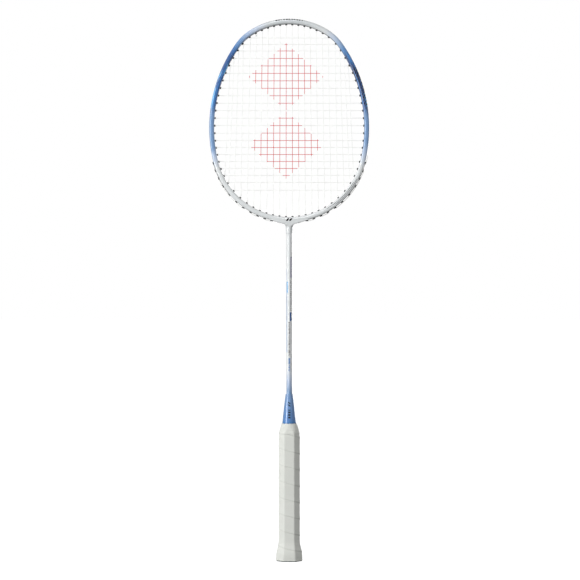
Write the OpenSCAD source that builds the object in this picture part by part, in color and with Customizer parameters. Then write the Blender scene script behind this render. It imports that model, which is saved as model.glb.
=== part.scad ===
// Badminton racket, in millimetres. It stands on its butt: +Z runs up the shaft to the tip of the
// head, +X is to the right across the face and -Y is the front. The origin is the centre of the
// butt end face, and the strings lie in the XZ plane.

/* [Overall] */
// Length from the butt face to the tip of the head
overall_len = 675; // [560:1:820]
// Width over the outside of the head
head_w = 199.5; // [166:0.5:240]

/* [Head outline] */
// Radius of the arc over the tip, on the tube's centre line
tip_r = 88.4; // [70:0.1:110]
// Turn of each half of the tip arc, in degrees
tip_turn = 32.9; // [26:0.1:40]
// Radius of the shoulder arcs, on the tube's centre line
shoulder_r = 58.5; // [46:0.1:72]
// Turn of each shoulder arc, in degrees
shoulder_turn = 22; // [18:0.1:27]
// Turn of each side arc, in degrees
side_turn = 49; // [40:0.1:60]

/* [Hoop tube] */
// Width of the tube in the plane of the strings
tube_w = 6.2; // [5:0.1:8]
// Depth of the tube from face to face
tube_d = 11; // [9:0.1:14]
// Wall of the tube
tube_wall = 1; // [0.8:0.05:1.3]
// Radius that rounds the tube's four edges
tube_edge_r = 2.4; // [1.8:0.1:2.5]
// Depth of the string groove round the upper part
groove_depth = 1.3; // [1:0.05:1.6]
// Width of the string groove
groove_w = 4.4; // [3.6:0.1:5.4]

/* [Strings] */
// Diameter of the string
string_d = 0.68; // [0.56:0.01:0.82]
// Number of cross strings
cross_count = 22; // [20:1:24]
// Number of long strings on each side of the middle
main_count = 11; // [10:1:12]
// Long strings on each side that leave through the tip without a cross string beside them
tip_mains = 6; // [5:1:7]
// Long strings on each side that leave through the throat without a cross string beside them
throat_mains = 8; // [7:1:9]
// Drop from the inside of the tip to the first cross string
first_cross_drop = 17.3; // [14:0.1:21]
// Rise from the inside of the throat to the last cross string
last_cross_rise = 33.6; // [28:0.1:40]

/* [Grommets] */
// Bore of each grommet
grommet_bore = 1.7; // [1.5:0.05:2]
// Wall of each grommet barrel
grommet_wall = 0.4; // [0.3:0.05:0.5]
// Length of barrel that stands out on the inside of the head
grommet_proud = 1.4; // [0.8:0.1:2]
// Thickness of the strip in the string groove
strip_t = 0.6; // [0.4:0.05:0.8]
// Thickness of the flanges that stand on the outside of the hoop
flange_t = 1; // [0.6:0.05:1.2]
// Diameter of the flange of a grommet
flange_d = 3.6; // [3.2:0.1:4]

/* [Throat] */
// Angle below level at which each wing of the throat runs down to the shaft
wing_slope = 16; // [13:0.5:19]
// Radius that blends the wings into the shaft
throat_fillet_r = 3.4; // [2.8:0.1:4.2]
// Length of the throat's neck over the top of the shaft
throat_neck_len = 9; // [7.5:0.5:11]
// Wall at the lower edge of the neck
throat_wall = 0.3; // [0.25:0.05:0.5]
// Wall at the upper end of the neck
throat_root_wall = 1; // [0.8:0.1:1.4]
// Length of the stem that plugs the shaft
stem_len = 34; // [26:1:42]
// Turn of each arm of the plug inside the hoop, in degrees
arm_turn = 14; // [11:0.5:17]

/* [Shaft] */
// Outside diameter of the shaft
shaft_d = 7.1; // [6:0.1:8.6]
// Bore of the shaft
shaft_bore = 4.4; // [3.6:0.1:5.2]
// Length of shaft glued into the handle
shaft_hold = 96; // [70:1:120]

/* [Cone] */
// Length of the cone above the handle
cone_len = 36.5; // [30:0.5:44]
// Diameter of the cone where it meets the handle
cone_base_d = 17.2; // [15:0.1:19]
// Diameter of the collar at the tip of the cone
cone_collar_d = 9.4; // [9:0.1:11]
// Length of the collar at the tip of the cone
cone_collar_len = 1.6; // [1.2:0.1:2.4]

/* [Handle] */
// Length of the handle from the butt face to the cone
handle_len = 171; // [140:1:206]
// Width of the finished grip across its side flats
grip_w = 26.1; // [23:0.1:32]
// Depth of the finished grip from its front flat to its back flat
grip_d = 23.5; // [21:0.1:28]
// Leg of the bevel between two flats of the finished grip
grip_bevel = 6.8; // [5.6:0.1:8]
// Swell of the butt beyond the grip on each side
butt_swell = 3.15; // [2.4:0.05:3.8]
// Height of the straight part of the butt
butt_rim = 6; // [4:0.5:8]
// Height at which the swell of the butt ends
butt_height = 25; // [20:0.5:30]
// Length over which the top of the handle narrows to the cone
neck_len = 20; // [16:0.5:24]
// Amount by which the top of the handle narrows on each side
neck_in = 4.3; // [3.6:0.1:5]

/* [Grip] */
// Thickness of the grip band
band_t = 1.8; // [1.5:0.05:2.1]
// Rise of the grip band for each turn
band_pitch = 20.3; // [17:0.1:24]
// Overlap of each turn on the one below it
band_lap = 2.6; // [2:0.1:3.2]
// Height of the finishing tape round the top of the grip
tape_h = 13; // [10:0.5:16]
// Thickness of the finishing tape
tape_t = 0.25; // [0.2:0.05:0.35]

/* [End cap] */
// Thickness of the end cap below the wood
cap_t = 2.6; // [2.2:0.1:3.2]
// Thickness of the lip that covers the edge of the grip band
cap_lip_t = 1; // [0.8:0.1:1.2]
// Diameter of the plug of the end cap
cap_plug_d = 12; // [10:0.5:14]
// Length of the plug of the end cap
cap_plug_len = 9; // [7:0.5:11]
// Diameter of the round badge
badge_d = 17; // [14:0.5:19]
// Thickness of the round badge
badge_t = 0.5; // [0.4:0.05:0.6]

/* [Hidden] */

$fn = 128;
fit = 0.04;       // gap between glued or pressed pieces
film = 0.1;       // slack under a string where it bends, and round a wrapped edge
bed = 0.2;        // glue film between the wood and the grip band
past = 1;         // how far a cut runs past the face that it opens
corner_steps = 3; // flats that round each edge of the tube
seam_gap = 0.1;   // distance from an arc's end to the seam that joins it to the next
seam_reach = 0.4; // half the length of a seam
seam_more = 0.02; // how much stouter a seam is than the outline that it joins

// The turn, in degrees, that a length takes up on an arc of radius r
function turn_of(length, r) = length / r * 180 / PI;

// The hoop: four arcs on each side, each tangent to the next. Arc k turns from turn_at[k] to
// turn_at[k + 1], measured clockwise from the tip, and the side and throat radii close the loop.
half_w = tube_w / 2;
turn_at = [0, tip_turn, tip_turn + shoulder_turn, tip_turn + shoulder_turn + side_turn, 180];
side_r = (head_w / 2 - half_w - (tip_r - shoulder_r) * sin(turn_at[1]) - shoulder_r * sin(turn_at[2]))
         / (1 - sin(turn_at[2]));
side_cx = (tip_r - shoulder_r) * sin(turn_at[1]) + (shoulder_r - side_r) * sin(turn_at[2]);
throat_r = side_r + side_cx / sin(turn_at[3]);
arc_r = [tip_r, shoulder_r, side_r, throat_r];
tip_z = overall_len - half_w;

function arc_centre(k) = k == 0 ? [0, tip_z - tip_r]
    : arc_centre(k - 1) + (arc_r[k - 1] - arc_r[k]) * [sin(turn_at[k]), cos(turn_at[k])];
arc_c = [for (k = [0:3]) arc_centre(k)];
throat_z = arc_c[3].y - throat_r;

function arc_at(t) = t <= turn_at[1] ? 0 : t <= turn_at[2] ? 1 : t <= turn_at[3] ? 2 : 3;
// The point at turn t on the right half, u outside the centre line, as [x, z]
function head_xz(t, u) = arc_c[arc_at(t)] + (arc_r[arc_at(t)] + u) * [sin(t), cos(t)];
// The same point in space, on side s (1 right, -1 left) and at depth y
function head_at(t, u, y, s) = let (p = head_xz(t, u)) [s * p.x, y, p.y];
function within(t, k) = t >= turn_at[k] && t <= turn_at[k + 1];
// The turn at which the line u outside the centre line passes height z
function turn_at_z(z, u) = [for (k = [0:3])
    let (c = (z - arc_c[k].y) / (arc_r[k] + u))
    if (abs(c) <= 1 && within(acos(c), k)) acos(c)][0];
// The turn at which the same line passes distance x from the middle, at the tip or the throat
function turn_at_x(x, u, at_tip) = [for (k = [0:3])
    let (c = (x - arc_c[k].x) / (arc_r[k] + u), t = abs(c) > 1 ? -1 : at_tip ? asin(c) : 180 - asin(c))
    if (within(t, k)) t][0];

// The grommets' and strings' places across the tube
seat_groove = half_w - groove_depth;          // floor of the groove
hole_d = grommet_bore + 2 * grommet_wall + fit;
mouth = -half_w - grommet_proud;              // inner end of a barrel
bend = mouth - string_d / 2;                  // where a string turns at that end
run_groove = seat_groove + fit + strip_t + film + string_d / 2;
run_plain = half_w + fit + flange_t + film + string_d / 2;
groove_end = turn_at[3];                      // the groove stops where the throat arc starts
string_y = string_d / 2 + fit / 2;            // the long strings' depth; the cross strings' is less it

// Gaps between cross strings, against the gap at the middle of the head: closer at the tip
function gap_share(j) = j < 2 ? 0.87 : j < cross_count - 8 ? 1 : j < cross_count - 2 ? 0.935 : 1.04;
function gap_sum(n) = n == 0 ? 0 : gap_share(n - 1) + gap_sum(n - 1);
first_cross_z = tip_z - half_w - first_cross_drop;
last_cross_z = throat_z + half_w + last_cross_rise;
cross_gap = (first_cross_z - last_cross_z) / gap_sum(cross_count - 1);
cross_turns = [for (j = [0:cross_count - 1]) turn_at_z(first_cross_z - cross_gap * gap_sum(j), bend)];

// Cross strings from this turn on leave through the grommets of the side strips, which stand on the
// plain tube. The first may be a little above the end of the groove, as far as its flange reaches.
flange_rest = 0.4;    // how much of a flange may lie over the end of the groove, on either side
side_from = groove_end - turn_of(flange_d / 2 - flange_rest, side_r);
side_turns = [for (t = cross_turns) if (t >= side_from) t];

// A long string past the tip's own holes shares a cross string's hole, and likewise at the throat
tip_gap = head_xz(cross_turns[0], bend).x / (tip_mains + 0.5);
throat_gap = head_xz(cross_turns[cross_count - 1], bend).x / (throat_mains + 0.5);
tip_turns = [for (k = [0:tip_mains - 1]) turn_at_x(tip_gap * (k + 0.5), bend, true)];
throat_turns = [for (k = [0:throat_mains - 1]) turn_at_x(throat_gap * (k + 0.5), bend, false)];
main_tip = [for (k = [0:main_count - 1]) k < tip_mains ? tip_turns[k] : cross_turns[k - tip_mains]];
main_throat = [for (k = [0:main_count - 1])
    k < throat_mains ? throat_turns[k] : cross_turns[cross_count - 1 - k + throat_mains]];

// The handle's eight-sided outline, worked from the wood: e is the distance outside the wood's
// straight part, and every corner turns by 45 degrees
wood_x = grip_w / 2 - band_t - bed;
wood_y = grip_d / 2 - band_t - bed;
bevel_growth = 2 - sqrt(2);
wood_bevel = grip_bevel - bevel_growth * (band_t + bed);
function octagon(e) = let (a = wood_x + e, b = wood_y + e, c = wood_bevel + bevel_growth * e)
    [[a, c - b], [a, b - c], [a - c, b], [c - a, b], [-a, b - c], [-a, c - b], [c - a, -b], [a - c, -b]];
neck_z = handle_len - neck_len;
// Smooth step from 1 to 0 as f goes from 0 to 1
function ease(f) = f <= 0 ? 1 : f >= 1 ? 0 : 0.5 + 0.5 * cos(180 * f);
function swell(z) = butt_swell * ease((z - butt_rim) / (butt_height - butt_rim))
    - neck_in * (1 - sin(90 * max(0, min(1, (handle_len - z) / neck_len))));
swell_steps = 8;
wood_levels = concat([cap_t],
    [for (i = [0:swell_steps]) butt_rim + (butt_height - butt_rim) * i / swell_steps],
    [for (i = [0:swell_steps]) neck_z + neck_len * i / swell_steps]);

// A solid with eight flat sides through the given heights, e(z) = swell(z) + out
module eight_sided(levels, out) {
    rings = [for (z = levels) for (p = octagon(swell(z) + out)) [p.x, p.y, z]];
    last = len(levels) - 1;
    walls = [for (i = [0:last - 1], k = [0:7]) let (n = (k + 1) % 8)
        [8 * i + k, 8 * (i + 1) + k, 8 * (i + 1) + n, 8 * i + n]];
    polyhedron(rings, concat(walls, [[for (k = [0:7]) k]], [[for (k = [7:-1:0]) 8 * last + k]]));
}

// Outline of the hoop tube: a box rounded by tube_edge_r, with or without the groove outside
function rounded_box(hw, hd, r) = [for (c = [0:3], i = [0:corner_steps])
    let (a = 90 * (c + i / corner_steps), sx = c == 0 || c == 3 ? 1 : -1, sy = c < 2 ? 1 : -1)
    [sx * (hw - r) + r * cos(a), sy * (hd - r) + r * sin(a)]];
groove_outline = [[half_w, -groove_w / 2], [seat_groove, -groove_w / 2 + groove_depth / 3],
                  [seat_groove, groove_w / 2 - groove_depth / 3], [half_w, groove_w / 2]];
module tube_outline(grooved, more = 0) {
    box = rounded_box(half_w + more, tube_d / 2 + more, tube_edge_r + more);
    polygon(grooved ? concat(box, groove_outline) : box);
}
cavity_hw = half_w - tube_wall - groove_depth / 2;
cavity_hd = tube_d / 2 - tube_wall - tube_edge_r / 3;
module cavity_outline(smaller = 0)
    translate([-groove_depth / 2, 0])
        square([2 * (cavity_hw - smaller), 2 * (cavity_hd - smaller)], center = true);

// Carries an outline, drawn as [outside, depth], along the hoop from turn t0 to t1 of arc k
module along_arc(k, t0, t1)
    translate([arc_c[k].x, 0, arc_c[k].y]) rotate([90, 0, 0]) rotate([0, 0, 90 - t1])
        rotate_extrude(angle = t1 - t0) translate([arc_r[k], 0]) children();
// The same from arc to arc over the tip, down to turn t_end on both sides. The arcs stop short of
// each other, and a seam joins them.
function short(k) = turn_of(seam_gap, arc_r[k]);
module over_tip(t_end) {
    along_arc(0, short(0) - turn_at[1], turn_at[1] - short(0)) children();
    for (s = [0, 1]) mirror([s, 0, 0]) {
        along_arc(1, turn_at[1] + short(1), turn_at[2] - short(1)) children();
        along_arc(2, turn_at[2] + short(2), t_end - short(2)) children();
    }
}
module lower_hoop() along_arc(3, turn_at[3] + short(3), 360 - turn_at[3] - short(3)) children();

// Stands its children at turn t on side s, with their +Z pointing out of the head
module at_turn(t, s) translate(head_at(t, 0, 0, s)) rotate([0, s * t, 0]) children();
module bores(turns, s, d)
    for (t = turns) at_turn(t, s) translate([0, 0, mouth - past])
        cylinder(h = tube_w + 2 * grommet_proud + 2 * past, d = d);

// A seam is a short stretch of the outline, a hair stouter, across the joint at turn t on side s
module seam(t, s) at_turn(t, s) rotate([0, -90, 0]) translate([0, 0, -seam_reach])
    linear_extrude(2 * seam_reach) children();

stem_d = shaft_bore - 2 * fit;
module head_frame() color("lightsteelblue") difference() {
    union() {
        over_tip(turn_at[3]) difference() {
            tube_outline(true);
            cavity_outline();
        }
        lower_hoop() difference() {
            tube_outline(false);
            cavity_outline();
        }
        for (s = [1, -1], k = [1:3]) seam(turn_at[k], s) difference() {
            tube_outline(k < 3, seam_more);
            cavity_outline(seam_more);
        }
    }
    for (s = [1, -1]) bores(concat(tip_turns, cross_turns, throat_turns), s, hole_d);
    translate([0, 0, throat_z - half_w - past]) cylinder(h = half_w + past, d = stem_d + 2 * fit);
}

// The T-shaped plug glued inside the hoop and the shaft
module t_plug() color("dimgray") difference() {
    union() {
        along_arc(3, 180 - arm_turn, 180 + arm_turn) cavity_outline(fit);
        translate([0, 0, throat_z - half_w - stem_len]) cylinder(h = stem_len + half_w, d = stem_d);
    }
    arm_turns = [for (t = throat_turns) if (t > 180 - arm_turn - turn_of(hole_d, throat_r)) t];
    for (s = [1, -1]) bores(arm_turns, s, hole_d);
}

// The throat: wings tangent to the hoop run down to a round neck over the top of the shaft
root_r = shaft_d / 2 + throat_root_wall;
neck_r = shaft_d / 2 + throat_wall;
wing_out = head_xz(180 - wing_slope, half_w);
wing_meet_z = wing_out.y - (wing_out.x - root_r) * tan(wing_slope);   // the wing's line at the neck
root_z = wing_meet_z - throat_fillet_r * tan((90 - wing_slope) / 2);
neck_bottom_z = root_z - throat_neck_len;
fillet_c = [root_r + throat_fillet_r, root_z];
fillet_steps = 6;
wing_fillet = [for (i = [0:fillet_steps])
    let (a = 90 + wing_slope + (90 - wing_slope) * i / fillet_steps)
    fillet_c + throat_fillet_r * [cos(a), sin(a)]];
wing_side = concat([wing_out], wing_fillet, [[neck_r, neck_bottom_z]]);
slot_deeper = 0.3;    // how far the slot under the middle grommets goes below the string in it
slot_side = 0.2;      // gap on each side of a flange in the slot
slot_roof = 1.4;      // thickness left between the slot and the shaft's socket
slot_floor_z = head_xz(180, run_plain + string_d / 2).y - slot_deeper;
slot_w = flange_d + 2 * slot_side;
socket_top_z = slot_floor_z - slot_roof;
cheek_in = 0.1;       // how far the throat stands in from each face of the hoop
cheek_half_rise = 2.5; // height above the root at which it has grown half way to that depth
cheek_rise = 5.5;     // height above the root at which it has grown all the way
cheek_y = tube_d / 2 - cheek_in;
cheek_side = [[neck_r, neck_bottom_z], [root_r, root_z], [(root_r + cheek_y) / 2, root_z + cheek_half_rise],
              [cheek_y, root_z + cheek_rise], [cheek_y, throat_z]];
// The round neck opens out upwards through these points, each [out, up] from the root
neck_flare = [[0, 0], [2.5, 2.2], [9, 4.4]];
flare_top = 6;
wing_end = wing_out.x + past;
neck_side = concat([[neck_r, neck_bottom_z]], [for (p = neck_flare) [root_r + p.x, root_z + p.y]],
    [[wing_end, root_z + flare_top], [wing_end, throat_z]]);
function both(side) = concat(side, [for (p = backwards(side)) [-p.x, p.y]]);
module throat_joint() color("whitesmoke") difference() {
    intersection() {
        rotate([90, 0, 0]) linear_extrude(tube_d, center = true) polygon(both(wing_side));
        rotate([90, 0, 90]) linear_extrude(2 * wing_out.x, center = true) polygon(both(cheek_side));
        rotate_extrude() polygon(concat([[0, neck_bottom_z]], neck_side, [[0, throat_z]]));
    }
    lower_hoop() tube_outline(false, fit);
    translate([-wing_end, -slot_w / 2, slot_floor_z]) cube([2 * wing_end, slot_w, tube_w]);
    translate([0, 0, neck_bottom_z - past])
        cylinder(h = socket_top_z - neck_bottom_z + past, d = shaft_d + 2 * fit);
    translate([0, 0, neck_bottom_z]) cylinder(h = throat_z - neck_bottom_z, d = stem_d + 2 * fit);
}

module shaft() color("white") {
    shaft_low_z = handle_len - shaft_hold;
    shaft_len = socket_top_z - fit - shaft_low_z;
    translate([0, 0, shaft_low_z]) difference() {
        cylinder(h = shaft_len, d = shaft_d);
        translate([0, 0, -past]) cylinder(h = shaft_len + 2 * past, d = shaft_bore);
    }
}

// The cone: a collar, then a side that bulges out to the base, and a spigot in the wood
spigot_len = 8;
spigot_r = (shaft_d / 2 + wood_y - neck_in) / 2;   // half way from the shaft to the wood's front
cone_steps = 9;
cone_bulge = 0.87;    // 1 is a straight side, and less bulges out
cone_rim = 0.8;       // height of the straight edge at the base
collar_soft = 0.6;    // how far the collar's upper edge is rounded in
module cone_cap() color("royalblue") {
    top = handle_len + cone_len;
    low = handle_len - spigot_len;
    skirt = cone_len - cone_collar_len - cone_rim;
    bore_r = shaft_d / 2 + fit;
    side = [for (i = [0:cone_steps]) let (f = i / cone_steps)
        [(cone_collar_d + (cone_base_d - cone_collar_d) * pow(1 - f, cone_bulge)) / 2,
         handle_len + cone_rim + skirt * f]];
    rotate_extrude() polygon(concat(
        [[bore_r, low], [spigot_r, low], [spigot_r, handle_len], [cone_base_d / 2, handle_len]],
        side,
        [[cone_collar_d / 2 - collar_soft / 3, top - 2 * collar_soft / 3],
         [cone_collar_d / 2 - collar_soft, top], [bore_r, top]]));
}

module handle_core() color("burlywood") difference() {
    shaft_socket_d = shaft_d + 2 * fit;
    eight_sided(wood_levels, 0);
    translate([0, 0, handle_len - shaft_hold - fit]) cylinder(h = shaft_hold + past, d = shaft_socket_d);
    translate([0, 0, handle_len - spigot_len - fit]) cylinder(h = spigot_len + past, r = spigot_r + fit);
    translate([0, 0, cap_t - past]) cylinder(h = cap_plug_len + fit + past, d = cap_plug_d + 2 * fit);
}

cap_lip_in = 0.3;     // how far the lip stands in from the face of the grip band
cap_plug_wall = 1.5;
module end_cap() color("darkslategray") difference() {
    union() {
        linear_extrude(cap_lip_t) polygon(octagon(butt_swell + bed + band_t - cap_lip_in));
        linear_extrude(cap_t) polygon(octagon(butt_swell - fit));
        cylinder(h = cap_t + cap_plug_len, d = cap_plug_d);
    }
    translate([0, 0, -past]) cylinder(h = badge_t + past, d = badge_d + 2 * fit);
    translate([0, 0, cap_t]) cylinder(h = cap_plug_len + past, d = cap_plug_d - 2 * cap_plug_wall);
}

// The badge: a plain disc with a ring pressed into it
badge_rim = 1.5;      // width of the flat edge outside the ring
badge_ring = 1;       // width of the ring
module end_badge() color("silver") difference() {
    cylinder(h = badge_t, d = badge_d);
    translate([0, 0, -past]) difference() {
        cylinder(h = past + badge_t / 3, d = badge_d - 2 * badge_rim);
        translate([0, 0, -past]) cylinder(h = 3 * past, d = badge_d - 2 * (badge_rim + badge_ring));
    }
}

// The grip band winds up the wood clockwise. Its outline is [along, out] from its lower edge: that
// edge lies over the thinned upper edge of the turn below.
edge_t = 0.6;         // thickness of the band's thinned edge
lap_step = 0.3;       // height of the step where a turn ends on the one below
lap_run = 1.2;        // where the band is down on the wood again, in laps from its lower edge
band_w = band_pitch + band_lap;
band_steps = 6;       // stretches along the band, so that it follows the swell of the butt
function between(from, to, n) = [for (i = [0:n]) from + (to - from) * i / n];
band_outline = concat([[0, band_t + fit], [band_lap, edge_t + 2 * fit]],
    between([lap_run * band_lap, 0], [band_w, 0], band_steps), [[band_w, edge_t]],
    between([band_pitch, band_t], [band_lap, band_t], band_steps), [[0, band_t + lap_step]]);
band_low = cap_lip_t + fit;
band_high = handle_len - fit;
squeeze = 0.12;       // height that the cut-off part of the first and last turns is pressed into
function pressed(z) =
    z < band_low + squeeze ? band_low + squeeze / (1 + (band_low + squeeze - z) / band_lap)
    : z > band_high - squeeze ? band_high - squeeze / (1 + (z - band_high + squeeze) / band_lap) : z;
bevel_len = wood_bevel * sqrt(2);
facets = [2 * (wood_y - wood_bevel), bevel_len, 2 * (wood_x - wood_bevel), bevel_len];
function facet_sum(n) = n == 0 ? 0 : facets[(n - 1) % 4] + facet_sum(n - 1);
turn_len = facet_sum(8);
band_start = band_low - band_w + 2 * band_lap;
band_corners = ceil(8 * (band_high - band_lap - band_start) / band_pitch);
first_corner = 3;     // the corner of the outline that the band starts from
module grip_band() color("whitesmoke") {
    count = len(band_outline);
    points = [for (i = [0:band_corners])
        let (z0 = band_start + band_pitch * (floor(i / 8) + facet_sum(i % 8) / turn_len),
             corner = (first_corner + 8 - i % 8) % 8)
        for (q = band_outline) let (z = pressed(z0 + q.x), p = octagon(swell(z) + bed + q.y)[corner])
            [p.x, p.y, z]];
    sides = [for (i = [0:band_corners - 1], k = [0:count - 1])
        let (n = (k + 1) % count, a = count * i, b = a + count)
        each [[a + k, a + n, b + n], [a + k, b + n, b + k]]];
    low_end = [for (k = [count - 1:-1:0]) k];
    high_end = [for (k = [0:count - 1]) count * band_corners + k];
    polyhedron(points, concat(sides, [low_end, high_end]));
}

tape_steps = 5;
module finishing_tape() color("white") difference() {
    levels = [for (i = [0:tape_steps]) handle_len - tape_h * (1 - i / tape_steps)];
    inner = bed + band_t + lap_step + fit;
    eight_sided(levels, inner + tape_t);
    eight_sided(concat([levels[0] - past], levels, [handle_len + past]), inner);
}

// Grommets: a barrel through the tube and a flange that stands on the outside, before it is bored
module grommet_body() {
    translate([0, 0, mouth]) cylinder(h = half_w + fit + flange_t - mouth, d = hole_d - fit);
    translate([0, 0, half_w + fit]) cylinder(h = flange_t, d = flange_d);
}
strip_end = min(groove_end - turn_of(2 * seam_reach, side_r),
                side_turns[0] - turn_of(flange_d / 2 + flange_rest, side_r));
strip_seat = seat_groove + fit;
strip_w = groove_w - 2 * groove_depth / 3 - 4 * fit;
module strip_outline(seat, w, t) translate([seat, -w / 2]) square([t, w]);
module tip_grommet_strip() color("#202124") {
    turns = concat(tip_turns, [for (t = cross_turns) if (t < side_from) t]);
    difference() {
        union() {
            over_tip(strip_end) strip_outline(strip_seat, strip_w, strip_t);
            for (s = [1, -1], k = [1, 2]) seam(turn_at[k], s)
                strip_outline(strip_seat - seam_more, strip_w + 2 * seam_more, strip_t + 2 * seam_more);
            for (s = [1, -1], t = turns) at_turn(t, s) translate([0, 0, mouth])
                cylinder(h = strip_seat + strip_t / 2 - mouth, d = hole_d - fit);
        }
        for (s = [1, -1]) bores(turns, s, grommet_bore);
    }
}
link_t = 0.35;        // thickness of the strip that links the flanges of a side strip
link_start = max(side_turns[0], groove_end);
link_end = side_turns[len(side_turns) - 1];
module side_strip(s) color("#202124") difference() {
    union() {
        for (t = side_turns) at_turn(t, s) grommet_body();
        mirror([s < 0 ? 1 : 0, 0, 0]) along_arc(3, link_start, link_end)
            strip_outline(half_w + fit, flange_d / 2, link_t);
    }
    bores(side_turns, s, grommet_bore);
}
module left_grommet_strip() side_strip(-1);
module right_grommet_strip() side_strip(1);
module throat_grommets(s) color("#202124") difference() {
    for (t = throat_turns) at_turn(t, s) grommet_body();
    bores(throat_turns, s, grommet_bore);
}
module left_throat_grommets() throat_grommets(-1);
module right_throat_grommets() throat_grommets(1);

// Strings: a route is a list of points, and the string is an eight-sided tube through them
function unit(v) = v / norm(v);
sides_of_string = 8;
module string_along(route) {
    last = len(route) - 1;
    way = [for (i = [0:last - 1]) unit(route[i + 1] - route[i])];
    // Directions square to each run, carried round every bend without twisting
    first = unit(cross(way[0], [0.3, 1, 0.2]));
    square_to = [for (i = 0, n = first; i < last; i = i + 1,
        n = i < last ? unit(n - (n * way[i]) / (1 + way[i - 1] * way[i]) * (way[i - 1] + way[i])) : n) n];
    rings = [for (i = [0:last])
        let (j = min(i, last - 1), w = way[j], n = square_to[j], b = cross(w, n),
             m = i == 0 || i == last ? w : way[i - 1] + w)
        for (k = [0:sides_of_string - 1])
            let (a = 360 * (k + 0.5) / sides_of_string, q = string_d / 2 * (cos(a) * n + sin(a) * b))
            route[i] + q - w * (q * m) / (w * m)];
    c = sides_of_string;
    walls = [for (i = [0:last - 1], k = [0:c - 1]) let (n = (k + 1) % c)
        each [[c * i + k, c * (i + 1) + n, c * i + n], [c * i + k, c * (i + 1) + k, c * (i + 1) + n]]];
    low_end = [for (k = [0:c - 1]) k];
    high_end = [for (k = [c - 1:-1:0]) c * last + k];
    polyhedron(rings, concat(walls, [low_end, high_end]));
}

function run_at(t) = t < side_from ? run_groove : run_plain;
round_in = 0.5;       // length cut off each corner where a string leaves a grommet
loop_step = 5;        // the most degrees between two points of a loop outside the tube
function step_turn(t) = turn_of(round_in, arc_r[arc_at(t)]);
// From inside the head at turn a, out through the hole and a little way towards turn b, u outside
function way_out(a, b, u, y, s) = [head_at(a, bend, y, s), head_at(a, u - round_in, y, s),
    head_at(a + sign(b - a) * step_turn(a), u, y, s)];
function backwards(list) = [for (i = [len(list) - 1:-1:0]) list[i]];
// Out through the hole at turn a, along the tube and in through the hole at b
function loop_over(a, b, y, s) =
    let (u = max(run_at(a), run_at(b)), n = max(2, ceil(abs(b - a) / loop_step)))
    concat(way_out(a, b, u, y, s), [for (i = [1:n - 1]) head_at(a + (b - a) * i / n, u, y, s)],
        backwards(way_out(b, a, u, y, s)));

// A tie-off: out at turn a at depth y0, along the tube at depth y1, and in at turn b. A short one
// goes straight from hole to hole.
tie_step = 4;         // the most degrees between two points of a tie-off's run
function tie_off(a, b, y0, y1, s) =
    let (u = max(run_at(a), run_at(b)), n = ceil(abs(b - a) / tie_step))
    concat(way_out(a, b, u, y0, s),
        n < 3 ? [head_at((a + b) / 2, u, y0, s)]
            : [for (i = [1:n - 1]) head_at(a + (b - a) * i / n, u, y1, s)],
        backwards(way_out(b, a, u, -string_y, s)));
// Then twice round the long string that runs from turn a to turn b
knot_r = string_d + film;
knot_pitch = string_d + 3 * fit;
knot_lead = 1.2;      // distance of the knot from the grommet
function knot(a, b, s) =
    let (start = head_at(a, bend, string_y, s), way = unit(head_at(b, bend, string_y, s) - start),
         e = unit(cross(way, [0, 1, 0])), f = cross(e, way))
    [for (q = [0:45:720]) start + way * (knot_lead + knot_pitch * q / 360)
        + knot_r * (sin(q) * e - cos(q) * f)];

// The long string's right half, from the middle of the loop over the tip to its tie-off. With an odd
// number of long strings it ends at the throat, and with an even number at the tip.
tie_depth = 3.1 * string_y;   // depth of a tie-off's run, beside the other string's loops
ends_low = main_count % 2 == 1;
last_main = main_count - 1;
tie_main = ends_low ? throat_mains - 1 : tip_mains - 2;
tie_hole = ends_low ? main_throat[tie_main] : main_tip[tie_main];
tie_far = ends_low ? main_tip[tie_main] : main_throat[tie_main];
main_half = concat(
    [head_at(0, run_groove, string_y, 1)],
    backwards(way_out(main_tip[0], -main_tip[0], run_groove, string_y, 1)),
    [for (k = [0:2:main_count - 3]) each concat(
        loop_over(main_throat[k], main_throat[k + 1], string_y, 1),
        loop_over(main_tip[k + 1], main_tip[k + 2], string_y, 1))],
    ends_low ? [] : loop_over(main_throat[last_main - 1], main_throat[last_main], string_y, 1),
    tie_off(ends_low ? main_throat[last_main] : main_tip[last_main], tie_hole, string_y, tie_depth, 1),
    knot(tie_hole, tie_far, 1));
left_half = [for (i = [len(main_half) - 1:-1:1]) [-main_half[i].x, main_half[i].y, main_half[i].z]];
module main_string() color("white") string_along(concat(left_half, main_half));

// The cross string, from its first tie-off at the left of the tip down to its last at the throat
tie_tip = tip_mains - 1;
tie_throat = throat_mains - 2;
last_cross = cross_count - 1;
end_side = last_cross % 2 == 1 ? -1 : 1;   // each cross string ends on the side opposite the last one's
cross_start = concat(tie_off(cross_turns[0], main_tip[tie_tip], -string_y, -string_y, -1),
    knot(main_tip[tie_tip], main_throat[tie_tip], -1));
cross_route = concat(
    backwards(cross_start),
    [for (j = [0:last_cross - 1]) each
        loop_over(cross_turns[j], cross_turns[j + 1], -string_y, j % 2 == 0 ? 1 : -1)],
    tie_off(cross_turns[last_cross], main_throat[tie_throat], -string_y, -tie_depth, end_side),
    knot(main_throat[tie_throat], main_tip[tie_throat], end_side));
module cross_string() color("white") string_along(cross_route);

head_frame();
t_plug();
throat_joint();
shaft();
cone_cap();
handle_core();
end_cap();
end_badge();
grip_band();
finishing_tape();
tip_grommet_strip();
left_grommet_strip();
right_grommet_strip();
left_throat_grommets();
right_throat_grommets();
main_string();
cross_string();
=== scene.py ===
import math

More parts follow.
